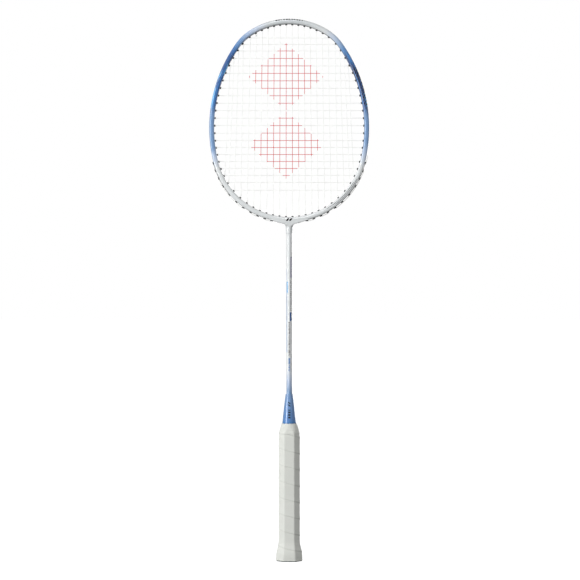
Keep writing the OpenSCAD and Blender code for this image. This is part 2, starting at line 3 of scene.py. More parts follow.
import bmesh
import bpy
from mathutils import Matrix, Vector


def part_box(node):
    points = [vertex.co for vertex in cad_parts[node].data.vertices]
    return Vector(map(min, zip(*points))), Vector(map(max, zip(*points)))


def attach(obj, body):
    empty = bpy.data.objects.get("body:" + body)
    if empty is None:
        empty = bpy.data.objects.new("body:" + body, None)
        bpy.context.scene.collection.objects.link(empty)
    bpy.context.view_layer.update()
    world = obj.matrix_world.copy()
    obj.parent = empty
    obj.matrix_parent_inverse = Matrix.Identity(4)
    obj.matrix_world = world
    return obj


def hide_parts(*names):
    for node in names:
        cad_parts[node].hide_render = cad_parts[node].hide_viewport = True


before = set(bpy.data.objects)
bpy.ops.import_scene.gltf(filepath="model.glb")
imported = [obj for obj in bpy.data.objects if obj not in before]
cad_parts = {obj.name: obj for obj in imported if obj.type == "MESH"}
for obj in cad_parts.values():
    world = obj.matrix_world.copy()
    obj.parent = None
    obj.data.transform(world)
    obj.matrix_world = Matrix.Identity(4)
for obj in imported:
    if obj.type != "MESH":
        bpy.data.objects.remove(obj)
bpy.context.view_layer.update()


# The racket stands on its butt: +Z runs up to the tip, +X is right across the face, -Y is the front.
MM = 0.001
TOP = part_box("head_frame")[1].z
HEAD_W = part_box("head_frame")[1].x * 2
SHAFT_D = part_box("shaft")[1].x * 2
HANDLE_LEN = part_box("finishing_tape")[1].z
CONE_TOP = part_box("cone_cap")[1].z
HANDLE_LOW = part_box("grip_band")[0].z


# ---------------- camera and lights
def linked(name, data):
    """A new object in the scene."""
    obj = bpy.data.objects.new(name, data)
    bpy.context.scene.collection.objects.link(obj)
    return obj


def camera():
    """Level with the middle of the racket, square on to the strings."""
    distance = 2.5
    view_height = 0.7233       # what the frame takes in at the strings, from bottom to top
    middle_x, middle_z = 0.0009, 0.3372
    data = bpy.data.cameras.new("camera")
    data.angle = 2 * math.atan(view_height / 2 / distance)
    eye = linked("camera", data)
    eye.location = (middle_x, -distance, middle_z)
    eye.rotation_euler = (math.pi / 2, 0, 0)
    bpy.context.scene.camera = eye


def softbox(name, place, size, power):
    """A lit panel that faces the middle of the racket."""
    aim = Vector((0, 0, 0.36))
    data = bpy.data.lights.new(name, "AREA")
    data.shape = "RECTANGLE"
    data.size, data.size_y = size
    data.energy = power
    light = linked(name, data)
    light.location = place
    light.rotation_euler = (aim - Vector(place)).to_track_quat("-Z", "Y").to_euler()


camera()
softbox("key", (-1.45, -1.05, 0.5), (0.5, 1.6), 27)
softbox("fill", (-0.2, -2.2, 2.0), (0.9, 0.9), 18)
softbox("back", (0.9, 1.7, 0.8), (0.9, 1.4), 18)


# ---------------- node trees
def rgb(*colour):
    """An sRGB colour in 0 to 255, as the shader wants it."""
    shares = [v / 255 for v in colour]
    return (*[v / 12.92 if v <= 0.04045 else ((v + 0.055) / 1.055) ** 2.4 for v in shares], 1)


WHITE = (1, 1, 1, 1)


def put(tree, kind, feeds=None, **settings):
    """Adds a node, sets it up and feeds its sockets with values or other nodes' outputs."""
    node = tree.nodes.new(kind)
    for key, value in settings.items():
        setattr(node, key, value)
    for key, value in (feeds or {}).items():
        if isinstance(value, bpy.types.NodeSocket):
            tree.links.new(value, node.inputs[key])
        else:
            node.inputs[key].default_value = value
    return node


def tree_of(*values):
    """The node tree that the first socket among the values belongs to."""
    return next(value for value in values if isinstance(value, bpy.types.NodeSocket)).id_data


def calc(operation, a, b=0.0, c=0.0):
    return put(tree_of(a, b, c), "ShaderNodeMath", {0: a, 1: b, 2: c}, operation=operation).outputs[0]


def scaled(value, by, plus):
    return calc("MULTIPLY_ADD", value, by, plus)


def both(first, *others):
    """The product of masks: 1 where all of them are 1."""
    for other in others:
        first = calc("MULTIPLY", first, other)
    return first


def either(first, *others):
    """The highest of masks: 1 where any of them is 1."""
    for other in others:
        first = calc("MAXIMUM", first, other)
    return first


def mixed(share, a, b):
    """Colour a where share is 0 and colour b where it is 1."""
    return put(tree_of(share, a, b), "ShaderNodeMix", {0: share, 6: a, 7: b}, data_type="RGBA").outputs[2]


def ramp(value, stops, interpolation="LINEAR"):
    node = put(value.id_data, "ShaderNodeValToRGB", {"Fac": value})
    node.color_ramp.interpolation = interpolation
    spots = node.color_ramp.elements
    while len(spots) < len(stops):
        spots.new(0.5)
    for spot, stop in zip(spots, stops):
        spot.position = stop[0]
    for spot, stop in zip(spots, stops):
        spot.color = stop[1]
    return node.outputs["Color"]


def grey_ramp(value, stops):
    return ramp(value, [(place, (v, v, v, 1)) for place, v in stops])


def noise(place, scale, detail):
    return put(place.id_data, "ShaderNodeTexNoise",
               {"Vector": place, "Scale": scale, "Detail": detail}).outputs["Fac"]


def stretched(place, level, upright):
    """Coordinates scaled by one number along X and Y and by another along Z."""
    return put(place.id_data, "ShaderNodeVectorMath", {0: place, 1: (level, level, upright)},
               operation="MULTIPLY").outputs[0]


def bumped(height, strength, distance, **more):
    """A normal tilted by a height, whose full range stands for the distance."""
    return put(height.id_data, "ShaderNodeBump",
               {"Strength": strength, "Distance": distance, "Height": height, **more}).outputs["Normal"]


def group(name, build, **inputs):
    """A shader node group; build fills it, given its tree, its inputs and a dict for its outputs.
    Vector and Normal are vectors, and every other socket is a number."""
    tree = bpy.data.node_groups.new(name, "ShaderNodeTree")
    for label, value in inputs.items():
        kind = "Vector" if label == "Vector" else "Float"
        socket = tree.interface.new_socket(label, in_out="INPUT", socket_type="NodeSocket" + kind)
        if kind == "Float":
            socket.default_value = value
    results = {}
    build(tree, tree.nodes.new("NodeGroupInput").outputs, results)
    for label in results:
        kind = "Vector" if label == "Normal" else "Float"
        tree.interface.new_socket(label, in_out="OUTPUT", socket_type="NodeSocket" + kind)
    end = tree.nodes.new("NodeGroupOutput")
    for label, socket in results.items():
        tree.links.new(socket, end.inputs[label])
    return tree


def use(made_group, **feeds):
    return put(tree_of(*feeds.values()), "ShaderNodeGroup", feeds, node_tree=made_group).outputs


def feed(shader, **sockets):
    """Links each value to the shader's socket of that name."""
    for key, value in sockets.items():
        shader.id_data.links.new(value, shader.inputs[key.replace("_", " ")])


# ---------------- shared effects
def build_band(tree, given, results):
    """1 between From and To, with both sides softened over Edge."""
    def side(limit, near, far):
        return put(tree, "ShaderNodeMapRange", {
            "Value": given["Value"], "From Min": calc(near, given[limit], given["Edge"]),
            "From Max": calc(far, given[limit], given["Edge"])},
            interpolation_type="SMOOTHSTEP").outputs["Result"]
    results["Mask"] = both(side("From", "SUBTRACT", "ADD"), side("To", "ADD", "SUBTRACT"))


BAND = group("soft band", build_band, Value=0, From=0, To=1, Edge=0.01)


def build_dashes(tree, given, results):
    """Slanted dashes in a row along Along, each about Fill of a pitch long."""
    spread = 0.45
    slid = scaled(given["Across"], given["Slant"], given["Along"])
    step = calc("DIVIDE", slid, given["Pitch"])
    number = calc("FLOOR", step)
    draw = put(tree, "ShaderNodeTexWhiteNoise", {"W": calc("ADD", number, given["Seed"])},
               noise_dimensions="1D").outputs["Value"]
    length = scaled(draw, spread, calc("SUBTRACT", given["Fill"], 0.22))
    results["Mask"] = calc("LESS_THAN", calc("FRACT", step), length)


DASHES = group("slanted dashes", build_dashes, Along=0, Across=0, Slant=0, Pitch=1, Fill=0.6, Seed=0)


def build_flake(tree, given, results):
    """Mica in a lacquer: tiny flakes that are lighter or darker and tilt the surface a little."""
    cells = put(tree, "ShaderNodeTexVoronoi", {"Vector": given["Vector"], "Scale": given["Scale"]})
    parts = put(tree, "ShaderNodeSeparateColor", {"Color": cells.outputs["Color"]})
    lit = calc("POWER", parts.outputs[0], 3.0)
    results["Flakes"] = both(lit, given["Amount"])
    results["Normal"] = bumped(parts.outputs[1], 0.05, 0.02 * MM)


FLAKE = group("lacquer flake", build_flake, Vector=0, Scale=2500, Amount=0.1)


def build_wear(tree, given, results):
    """Fine rubbed patches and hairline scuffs."""
    cloud = noise(given["Vector"], given["Scale"], 4.0)
    lines = noise(stretched(given["Vector"], 9.0, 1.0), given["Scale"], 2.0)
    hair = grey_ramp(lines, [(0.62, 0), (0.68, 1)])
    patch = grey_ramp(cloud, [(0.35, 0), (0.75, 1)])
    results["Rubbed"] = patch
    results["Scuffs"] = both(hair, patch)


WEAR = group("fine wear", build_wear, Vector=0, Scale=60)


def build_grain(tree, given, results):
    """A soft pebbled skin, as pressed into a grip."""
    cells = put(tree, "ShaderNodeTexVoronoi", {"Vector": given["Vector"], "Scale": given["Scale"]},
                feature="SMOOTH_F1")
    cloud = noise(given["Vector"], calc("MULTIPLY", given["Scale"], 0.35), 5.0)
    results["Height"] = scaled(cloud, 0.8, cells.outputs["Distance"])
    results["Pores"] = grey_ramp(cells.outputs["Distance"], [(0.0, 1), (0.25, 0)])


GRAIN = group("pebble grain", build_grain, Vector=0, Scale=1400)


# ---------------- colours
PEARL = rgb(233, 237, 238)
PEARL_SHADE = rgb(214, 220, 222)
MIST = rgb(196, 212, 236)
PERIWINKLE = rgb(120, 160, 208)
AZURE = rgb(48, 124, 196)
SKY = rgb(92, 178, 236)
DEEP = rgb(32, 84, 152)
NAVY = rgb(20, 48, 98)
INK = rgb(22, 24, 30)
GRAPHITE = rgb(96, 94, 96)
PLUM = rgb(88, 84, 140)
RED = rgb(205, 30, 44)


def surface(name, **sockets):
    """A new material with its Principled shader; sockets sets the values that stay the same all over."""
    material = bpy.data.materials.new(name)
    material.use_nodes = True
    tree = material.node_tree
    shader = tree.nodes["Principled BSDF"]
    for key, value in sockets.items():
        shader.inputs[key.replace("_", " ")].default_value = value
    return material, tree, shader


def uv_place(tree):
    return put(tree, "ShaderNodeSeparateXYZ", {0: put(tree, "ShaderNodeTexCoord").outputs["UV"]}).outputs


def object_place(tree):
    """Object coordinates whole, and as x, y and z in millimetres."""
    place = put(tree, "ShaderNodeTexCoord").outputs["Object"]
    scaled = put(tree, "ShaderNodeVectorMath", {0: place, "Scale": 1 / MM}, operation="SCALE").outputs[0]
    return place, put(tree, "ShaderNodeSeparateXYZ", {0: scaled}).outputs


def band(value, start, end, edge):
    return use(BAND, Value=value, From=start, To=end, Edge=edge)["Mask"]


def dashes(along, across, slant, pitch, fill, seed=0.0):
    return use(DASHES, Along=along, Across=across, Slant=slant, Pitch=pitch, Fill=fill,
               Seed=seed)["Mask"]


def lacquer(shader, place, colour, ink=0.0, roughness=0.22):
    """Pearl lacquer over the colour: flakes, a coat rubbed dull here and there, and dark ink on top."""
    flake = use(FLAKE, Vector=place, Scale=2600.0, Amount=0.14)
    wear = use(WEAR, Vector=place, Scale=45.0)
    lit = mixed(flake["Flakes"], colour, WHITE)
    worn = mixed(both(wear["Scuffs"], 0.12), lit, PEARL_SHADE)
    feed(shader, Base_Color=mixed(ink, worn, INK), Normal=flake["Normal"],
         Roughness=scaled(wear["Rubbed"], 0.10, roughness))


LACQUER = dict(Coat_Weight=0.8, Coat_Roughness=0.06, Coat_IOR=1.5, Specular_IOR_Level=0.45)


# ---------------- the outline of the head
TUBE_W = 6.2 * MM
TUBE_D = 11 * MM
EDGE_R = 2.4 * MM
GROOVE_DEPTH = 1.3 * MM
GROOVE_W = 4.4 * MM
TIP_R = 88.4 * MM
SHOULDER_R = 58.5 * MM
TIP_TURN = 32.9
SHOULDER_TURN = 22.0
SIDE_TURN = 49.0
HALF_W = TUBE_W / 2


def sin(degrees):
    return math.sin(math.radians(degrees))


def cos(degrees):
    return math.cos(math.radians(degrees))


# Four arcs on each side, each tangent to the next. A turn is measured clockwise from the tip.
TURNS = [0, TIP_TURN, TIP_TURN + SHOULDER_TURN, TIP_TURN + SHOULDER_TURN + SIDE_TURN, 180]
SIDE_R = ((HEAD_W / 2 - HALF_W - (TIP_R - SHOULDER_R) * sin(TURNS[1]) - SHOULDER_R * sin(TURNS[2]))
          / (1 - sin(TURNS[2])))
SIDE_CX = (TIP_R - SHOULDER_R) * sin(TURNS[1]) + (SHOULDER_R - SIDE_R) * sin(TURNS[2])
THROAT_R = SIDE_R + SIDE_CX / sin(TURNS[3])
RADII = [TIP_R, SHOULDER_R, SIDE_R, THROAT_R]
CENTRES = [(0.0, TOP - HALF_W - TIP_R)]
for arc in range(3):
    shift = RADII[arc] - RADII[arc + 1]
    x, z = CENTRES[arc]
    CENTRES.append((x + shift * sin(TURNS[arc + 1]), z + shift * cos(TURNS[arc + 1])))
THROAT_Z = CENTRES[3][1] - THROAT_R
HEAD_MID_Z = (TOP + THROAT_Z - HALF_W) / 2


def arc_of(turn):
    return next(k for k in range(4) if turn <= TURNS[k + 1])


def head_point(turn, out, depth=0.0, side=1):
    """The point at that turn, out from the tube's centre line, at that depth."""
    arc = arc_of(turn)
    (x, z), reach = CENTRES[arc], RADII[arc] + out
    return Vector((side * (x + reach * sin(turn)), depth, z + reach * cos(turn)))


def place_on_tube(point):
    """The turn of a point near the tube, and how far out it lies from the centre line."""
    for arc in range(4):
        dx, dz = abs(point.x) - CENTRES[arc][0], point.z - CENTRES[arc][1]
        turn = math.degrees(math.atan2(dx, dz))
        turn += 360 if turn < -90 else 0
        if turn <= TURNS[arc + 1] + 1e-4 or arc == 3:
            return turn, math.hypot(dx, dz) - RADII[arc]


# ---------------- working on meshes
def deselect():
    if bpy.context.object and bpy.context.object.mode != "OBJECT":
        bpy.ops.object.mode_set(mode="OBJECT")
    bpy.ops.object.select_all(action="DESELECT")


def only(obj):
    """Makes obj the only selected object, and the active one."""
    deselect()
    obj.select_set(True)
    bpy.context.view_layer.objects.active = obj


def pick(obj, test):
    """In edit mode: selects the points of obj that pass the test, and nothing else."""
    bpy.ops.mesh.select_mode(type="VERT")
    bpy.ops.mesh.select_all(action="DESELECT")
    mesh = bmesh.from_edit_mesh(obj.data)
    for point in mesh.verts:
        point.select = test(point.co)
    mesh.select_flush_mode()
    bmesh.update_edit_mesh(obj.data)


def editing(obj):
    only(obj)
    bpy.ops.object.mode_set(mode="EDIT")
    bpy.ops.mesh.select_all(action="SELECT")


def applied(obj, kind, **settings):
    """Adds a modifier, sets it up and applies it."""
    only(obj)
    modifier = obj.modifiers.new(kind.lower(), kind)
    for key, value in settings.items():
        setattr(modifier, key, value)
    bpy.ops.object.modifier_apply(modifier=modifier.name)


def smoothed(obj, degrees=35):
    only(obj)
    bpy.ops.object.shade_smooth_by_angle(angle=math.radians(degrees))


def pick_open_edges(obj):
    """In edit mode: selects the edges that have a face on one side only."""
    bpy.ops.mesh.select_mode(type="EDGE")
    bpy.ops.mesh.select_all(action="DESELECT")
    mesh = bmesh.from_edit_mesh(obj.data)
    for edge in mesh.edges:
        edge.select = edge.is_boundary
    bmesh.update_edit_mesh(obj.data)


def bridge_open_edges(obj):
    """In edit mode: joins the first and the last ring of a turned piece."""
    pick_open_edges(obj)
    bpy.ops.mesh.bridge_edge_loops()


def closed(obj):
    """Merges what touches and turns every face outwards."""
    editing(obj)
    bpy.ops.mesh.remove_doubles(threshold=0.005 * MM)
    bpy.ops.mesh.normals_make_consistent(inside=False)
    deselect()


def coated(obj, material):
    obj.data.materials.clear()
    obj.data.materials.append(material)


def finished(obj, name, material, slot, *stands_for):
    obj.name = obj.data.name = name
    coated(obj, material)
    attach(obj, "root")
    if stands_for:
        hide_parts(*stands_for)


def set_uv(obj, rule):
    """Gives each corner of each face its UV from its point and the middle of its face."""
    layer = obj.data.uv_layers.get("UVMap") or obj.data.uv_layers.new(name="UVMap")
    obj.data.uv_layers.active = layer
    for face in obj.data.polygons:
        for loop in face.loop_indices:
            point = obj.data.vertices[obj.data.loops[loop].vertex_index].co
            layer.data[loop].uv = rule(point, face.center)


# ---------------- hoop
def throat_bars(x, y, z):
    """Two small slanted bars in the middle of the throat's front."""
    rise = calc("SUBTRACT", z, THROAT_Z / MM)
    slid = scaled(rise, -0.6, x)
    bars = either(band(slid, -3.1, -0.7, 0.08), band(slid, 0.7, 3.1, 0.08))
    return both(bars, band(rise, -1.8, 1.8, 0.08), calc("LESS_THAN", y, 0.0))


def hoop_lacquer():
    """White at the tip and the throat, and blue down both sides, with shards, dashes and stripes."""
    material, tree, shader = surface("hoop_lacquer", **LACQUER)
    place, (x, y, z) = object_place(tree)
    uv = uv_place(tree)
    clock = scaled(uv[0], 360.0, -180.0)       # degrees from the tip, + to the right
    across = uv[1]                             # 0 inside the head, 1 outside
    stops = [(-124, PEARL), (-117, MIST), (-110, PERIWINKLE), (-86, PERIWINKLE), (-76, AZURE), (-58, DEEP),
             (-40, AZURE), (-31, PERIWINKLE), (-22, MIST), (-12, PEARL_SHADE), (8, PEARL_SHADE), (22, PEARL),
             (29, MIST), (36, PERIWINKLE), (46, AZURE), (56, DEEP), (76, DEEP), (85, PERIWINKLE),
             (106, PERIWINKLE), (115, MIST), (123, PEARL)]
    base = ramp(uv[0], [(0.5 + degrees / 360, shade) for degrees, shade in stops])
    # Long shards of lighter and darker blue along the shoulders
    streak = put(tree, "ShaderNodeCombineXYZ", {
        0: scaled(across, 0.045, uv[0]), 1: both(across, 0.10), 2: both(calc("SIGN", y), 0.05)}).outputs[0]
    shards = put(tree, "ShaderNodeTexVoronoi", {"Vector": streak, "Scale": 32.0}, distance="CHEBYCHEV")
    pick_one = put(tree, "ShaderNodeSeparateColor", {"Color": shards.outputs["Color"]}).outputs[0]
    shard = ramp(pick_one, [(0, NAVY), (0.2, DEEP), (0.42, AZURE), (0.66, SKY), (0.82, DEEP)], "CONSTANT")
    shoulders = either(band(clock, -82.0, -38.0, 5.0), band(clock, 38.0, 84.0, 5.0))
    colour = mixed(both(shoulders, 0.8), base, shard)
    # A painted highlight: a bright sky-blue streak on the outer edge at the widest point of each side, in
    # place of the key light's gleam along the tube
    painted_highlight = either(band(clock, -78.0, -66.0, 1.0), band(clock, 70.0, 80.0, 1.0))
    colour = mixed(both(painted_highlight, band(across, 0.72, 1.2, 0.05)), colour, SKY)
    # Two rows of dark slanted dashes on the right shoulder
    rows = either(band(across, 0.30, 0.58, 0.01), band(across, 0.64, 1.3, 0.01))
    dash = both(dashes(clock, across, 3.4, 2.3, 0.6), rows, band(clock, 51.0, 79.0, 0.2))
    # Two dark pinstripes low on the right, the outer one a little higher
    stripe = either(both(band(across, 0.30, 0.38, 0.01), band(clock, 134.0, 157.0, 0.3)),
                    both(band(across, 0.55, 0.63, 0.01), band(clock, 131.0, 151.0, 0.3)))
    # Fine ticks round the outside of the tip
    tick = both(dashes(clock, across, 0.5, 1.5, 0.6, 7.0), band(across, 0.74, 1.3, 0.01),
                band(clock, -8.0, 8.0, 0.1))
    ink = both(either(dash, stripe, tick), calc("LESS_THAN", y, 0.0))
    ink = either(ink, throat_bars(x, y, z))
    lacquer(shader, place, colour, ink)
    return material


def hoop():
    """The tube's outline is spun round each arc in turn, and the second half is its mirror image."""
    top = CENTRES[0][1] + TIP_R
    deselect()
    bpy.ops.mesh.primitive_plane_add(size=1, location=(0, 0, top), rotation=(0, math.pi / 2, 0))
    obj = bpy.context.object
    obj.scale = (TUBE_W, TUBE_D, 1)
    bpy.ops.object.transform_apply()
    editing(obj)
    bpy.ops.mesh.bevel(offset=EDGE_R, offset_type="OFFSET", segments=6, profile=0.5, affect="VERTICES")
    wall = GROOVE_W / 2 - GROOVE_DEPTH / 3       # the groove's sides lean a little
    slack = 0.01 * MM
    for depth in (-GROOVE_W / 2, -wall, wall, GROOVE_W / 2):
        bpy.ops.mesh.select_all(action="SELECT")
        bpy.ops.mesh.bisect(plane_co=(0, depth, 0), plane_no=(0, 1, 0))
    # Keep the outline alone, without the cuts that cross it
    bpy.ops.mesh.select_all(action="SELECT")
    bpy.ops.mesh.delete(type="ONLY_FACE")
    mesh = bmesh.from_edit_mesh(obj.data)
    crossing = [e for e in mesh.edges if abs(e.verts[0].co.z - e.verts[1].co.z) > TUBE_W * 0.9]
    bmesh.ops.delete(mesh, geom=crossing, context="EDGES_FACES")
    bmesh.update_edit_mesh(obj.data)
    pick(obj, lambda p: p.z > top and abs(p.y) < wall + slack)
    bpy.ops.transform.translate(value=(0, 0, -GROOVE_DEPTH))
    bpy.ops.mesh.select_all(action="SELECT")

    def spin(arc, start, end, steps):
        bpy.ops.mesh.spin(steps=steps, angle=-math.radians(end - start), axis=(0, 1, 0),
                          center=(CENTRES[arc][0], 0, CENTRES[arc][1]))
    for arc, steps in enumerate((24, 14, 56)):
        spin(arc, TURNS[arc], TURNS[arc + 1], steps)
    # The groove runs out in a short ramp
    ramp_turn = 1.2
    end = TURNS[3] + ramp_turn
    spin(3, TURNS[3], end, 1)
    seat = head_point(end, HALF_W - GROOVE_DEPTH)
    pick(obj, lambda p: abs(p.y) < wall + slack and (Vector((p.x, 0, p.z)) - seat).length < 5 * slack)
    outward = Vector((sin(end), 0, cos(end)))
    bpy.ops.transform.translate(value=outward * GROOVE_DEPTH)
    pick(obj, lambda p: abs(place_on_tube(p)[0] - end) < 0.02)
    spin(3, end, 180, 60)
    bpy.ops.object.mode_set(mode="OBJECT")
    for point in obj.data.vertices:
        if abs(point.co.x) < 2 * slack:
            point.co.x = 0
    applied(obj, "MIRROR", use_clip=True, merge_threshold=slack)       # across X
    closed(obj)

    def rule(point, middle):
        side = 1 if middle.x > 0 else -1
        clock = math.degrees(math.atan2(abs(point.x), point.z - HEAD_MID_Z))
        return 0.5 + side * clock / 360, 0.5 + place_on_tube(point)[1] / TUBE_W
    set_uv(obj, rule)
    smoothed(obj, 40)
    finished(obj, "hoop", hoop_lacquer(), "hoop", "head_frame")


hoop()


# ---------------- throat
def white_lacquer():
    """The throat's white, as on the hoop that it runs into."""
    material, tree, shader = surface("throat_lacquer", **LACQUER)
    place, (x, y, z) = object_place(tree)
    lacquer(shader, place, PEARL, throat_bars(x, y, z))
    return material


def throat():
    """The wings and the neck, run together with the hoop above and the shaft below as one moulding.
    What lies inside the hoop and the shaft is a hair thinner than they are, so only the fillets show."""
    voxel = 0.28 * MM
    thinner = 0.07 * MM
    low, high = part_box("throat_joint")
    deselect()
    core = linked("throat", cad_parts["throat_joint"].data.copy())
    section = linked("hoop_section", bpy.data.objects["hoop"].data.copy())
    closed(core)
    reach = high.x + 4 * MM
    editing(section)
    for side in (1, -1):
        bpy.ops.mesh.select_all(action="SELECT")
        bpy.ops.mesh.bisect(plane_co=(side * reach, 0, 0), plane_no=(side, 0, 0), use_fill=True,
                            clear_outer=True)
    pick(section, lambda p: p.z > high.z + 30 * MM)
    bpy.ops.mesh.delete(type="VERT")
    deselect()
    applied(section, "DISPLACE", strength=-thinner, mid_level=0)
    stub_low = low.z - 5 * MM
    bpy.ops.mesh.primitive_cylinder_add(vertices=64, radius=SHAFT_D / 2 - thinner, depth=high.z - stub_low,
                                        location=(0, 0, (high.z + stub_low) / 2))
    stub = bpy.context.object
    bpy.ops.object.transform_apply()
    deselect()
    for part in (core, section, stub):
        part.select_set(True)
    bpy.context.view_layer.objects.active = core
    bpy.ops.object.join()
    applied(core, "REMESH", mode="VOXEL", voxel_size=voxel, use_smooth_shade=True)
    applied(core, "SMOOTH", factor=0.5, iterations=14)
    smoothed(core, 60)
    finished(core, "throat", white_lacquer(), "throat", "throat_joint")


throat()


# ---------------- shaft
def shaft_lacquer():
    """White, with thin blue and grey trim down the front, fading to blue above the cone."""
    material, tree, shader = surface("shaft_lacquer", **LACQUER)
    place, (x, y, z) = object_place(tree)
    around = calc("ARCTAN2", x, calc("MULTIPLY", y, -1.0))   # 0 at the front, + to the right
    low = CONE_TOP / MM

    def mark(start, end, left, right):
        """A mark between two heights above the cone and two angles round the front."""
        return both(band(z, low + start, low + end, 0.4), band(around, left, right, 0.03))
    colour = ramp(calc("DIVIDE", calc("SUBTRACT", z, low), 60.0),
                  [(0.0, PERIWINKLE), (0.30, MIST), (0.55, PEARL)])
    for start, end, left, right, shade in (
            (126, 140, -1.3, -0.55, SKY), (142, 156, -1.3, -0.9, MIST), (52, 126, -1.25, -0.85, PERIWINKLE),
            (145, 171, 0.45, 0.95, PLUM), (91, 102, 0.2, 0.95, DEEP)):
        colour = mixed(mark(start, end, left, right), colour, shade)
    dash = dashes(z, around, 1.2, 2.6, 0.6)
    colour = mixed(both(mark(104, 144, 0.35, 0.9), dash, 0.75), colour, GRAPHITE)
    small = dashes(z, around, 0.8, 1.7, 0.6, 5.0)
    colour = mixed(both(mark(47, 90, -0.3, 0.3), small, 0.85), colour, GRAPHITE)
    colour = mixed(both(mark(28, 45, -0.3, 0.35), small), colour, AZURE)
    lacquer(shader, place, colour)
    return material


coated(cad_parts["shaft"], shaft_lacquer())


# ---------------- cone
CONE_BASE_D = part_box("cone_cap")[1].x * 2
CONE_COLLAR_D = 9.4 * MM
CONE_COLLAR_LEN = 1.6 * MM
CONE_RIM = 0.8 * MM
CONE_BULGE = 0.87


def cone_lacquer():
    """Blue, deeper at the foot and paler up towards the shaft, with a short row of dark bars up the middle.
    """
    material, tree, shader = surface("cone_lacquer", **LACQUER)
    place, (x, y, z) = object_place(tree)
    up = calc("SUBTRACT", z, HANDLE_LEN / MM)
    base = ramp(calc("DIVIDE", up, (CONE_TOP - HANDLE_LEN) / MM),
                [(0.0, AZURE), (0.15, rgb(86, 138, 204)), (1.0, PERIWINKLE)])
    slid = scaled(x, 0.55, up)
    bars = either(band(slid, 21.6, 23.2, 0.08), band(slid, 24.8, 26.4, 0.08))
    row = either(*[band(up, low, high, 0.06) for low, high in (
        (6.6, 8.6), (9.8, 11.8), (13.0, 15.0), (16.2, 17.4))])
    ink = both(either(bars, row), band(x, -1.5, 1.5, 0.08), calc("LESS_THAN", y, 0.0))
    lacquer(shader, place, base, ink, 0.26)
    return material


def lathe(stations, sides=96):
    """A turned piece: a ring is drawn out along the axis, and its radius changes at each station."""
    deselect()
    (first_r, first_z), *others = stations
    bpy.ops.mesh.primitive_circle_add(vertices=sides, radius=first_r, location=(0, 0, first_z))
    obj = bpy.context.object
    bpy.ops.object.transform_apply()
    editing(obj)
    radius, height = first_r, first_z
    for next_r, next_z in others:
        bpy.ops.mesh.extrude_region_move(TRANSFORM_OT_translate={"value": (0, 0, next_z - height)})
        share = next_r / radius
        bpy.ops.transform.resize(value=(share, share, 1), center_override=(0, 0, next_z))
        radius, height = next_r, next_z
    return obj


def cone():
    skirt = CONE_TOP - HANDLE_LEN - CONE_COLLAR_LEN
    bore = SHAFT_D / 2 + 0.04 * MM
    base, collar = CONE_BASE_D / 2, CONE_COLLAR_D / 2
    stations = [(bore, HANDLE_LEN + 0.05 * MM)]
    for inset, rise in ((0.3, 0.05), (0.08, 0.14), (0, 0.35)):
        stations.append((base - inset * MM, HANDLE_LEN + rise * MM))
    steps = 14
    for share in (i / steps for i in range(steps + 1)):
        stations.append((collar + (base - collar) * (1 - share) ** CONE_BULGE,
                         HANDLE_LEN + CONE_RIM + (skirt - CONE_RIM) * share))
    for inset, drop in ((0, 0.5), (0.12, 0.2), (0.4, 0.05), (0.7, 0)):
        stations.append((collar - inset * MM, CONE_TOP - drop * MM))
    obj = lathe(stations + [(bore, CONE_TOP)])
    bridge_open_edges(obj)
    closed(obj)
    smoothed(obj, 35)
    finished(obj, "cone", cone_lacquer(), "cone", "cone_cap")


cone()


# ---------------- strings
STRING_D = 0.68 * MM
STRING_Y = STRING_D / 2 + 0.02 * MM
CROSS_COUNT = 22
MAIN_COUNT = 11
TIP_MAINS = 6
THROAT_MAINS = 8
FIRST_CROSS_DROP = 17.3 * MM
LAST_CROSS_RISE = 33.6 * MM
GROMMET_PROUD = 1.4 * MM
STRIP_T = 0.6 * MM
FLANGE_T = 1 * MM
FLANGE_D = 3.6 * MM
FLANGE_REST = 0.4 * MM
FIT = 0.04 * MM
FILM = 0.1 * MM
BEND = -HALF_W - GROMMET_PROUD - STRING_D / 2
RUN_GROOVE = HALF_W - GROOVE_DEPTH + FIT + STRIP_T + FILM + STRING_D / 2
RUN_PLAIN = HALF_W + FIT + FLANGE_T + FILM + STRING_D / 2
SIDE_FROM = TURNS[3] - math.degrees((FLANGE_D / 2 - FLANGE_REST) / SIDE_R)       # no groove from here on
ROUND_IN = 0.5 * MM       # how far a string goes on past its hole before it lies along the tube
LOOP_STEP = 5             # at most this many degrees between the points of a loop over the tube
TIE_STEP = 4
TIE_Y = 3.1 * STRING_Y    # how deep a tie lies, clear of the loops it passes
NEAR_END = 0.004          # no crossing this close to a long string's end, as a share of its length


def turn_at(axis, place, at_tip=True):
    """The turn at which a string bends into its hole at that width (axis 0) or height (axis 1)."""
    for arc in range(4):
        share = (place - CENTRES[arc][axis]) / (RADII[arc] + BEND)
        if abs(share) <= 1:
            turn = math.degrees((math.asin, math.acos)[axis](share))
            turn = turn if at_tip else 180 - turn
            if TURNS[arc] <= turn <= TURNS[arc + 1]:
                return turn


def gap_share(gap):
    """How wide a gap between cross strings is beside the plain ones; gaps count from the tip."""
    if gap < 2:
        return 0.87
    if gap < CROSS_COUNT - 8:
        return 1.0
    return 0.935 if gap < CROSS_COUNT - 2 else 1.04


first_z = TOP - TUBE_W - FIRST_CROSS_DROP
last_z = THROAT_Z + HALF_W + LAST_CROSS_RISE
shares = [sum(gap_share(g) for g in range(j)) for j in range(CROSS_COUNT)]
CROSS_Z = [first_z - (first_z - last_z) * share / shares[-1] for share in shares]
CROSS_TURNS = [turn_at(1, height) for height in CROSS_Z]
tip_gap = head_point(CROSS_TURNS[0], BEND).x / (TIP_MAINS + 0.5)
throat_gap = head_point(CROSS_TURNS[-1], BEND).x / (THROAT_MAINS + 0.5)
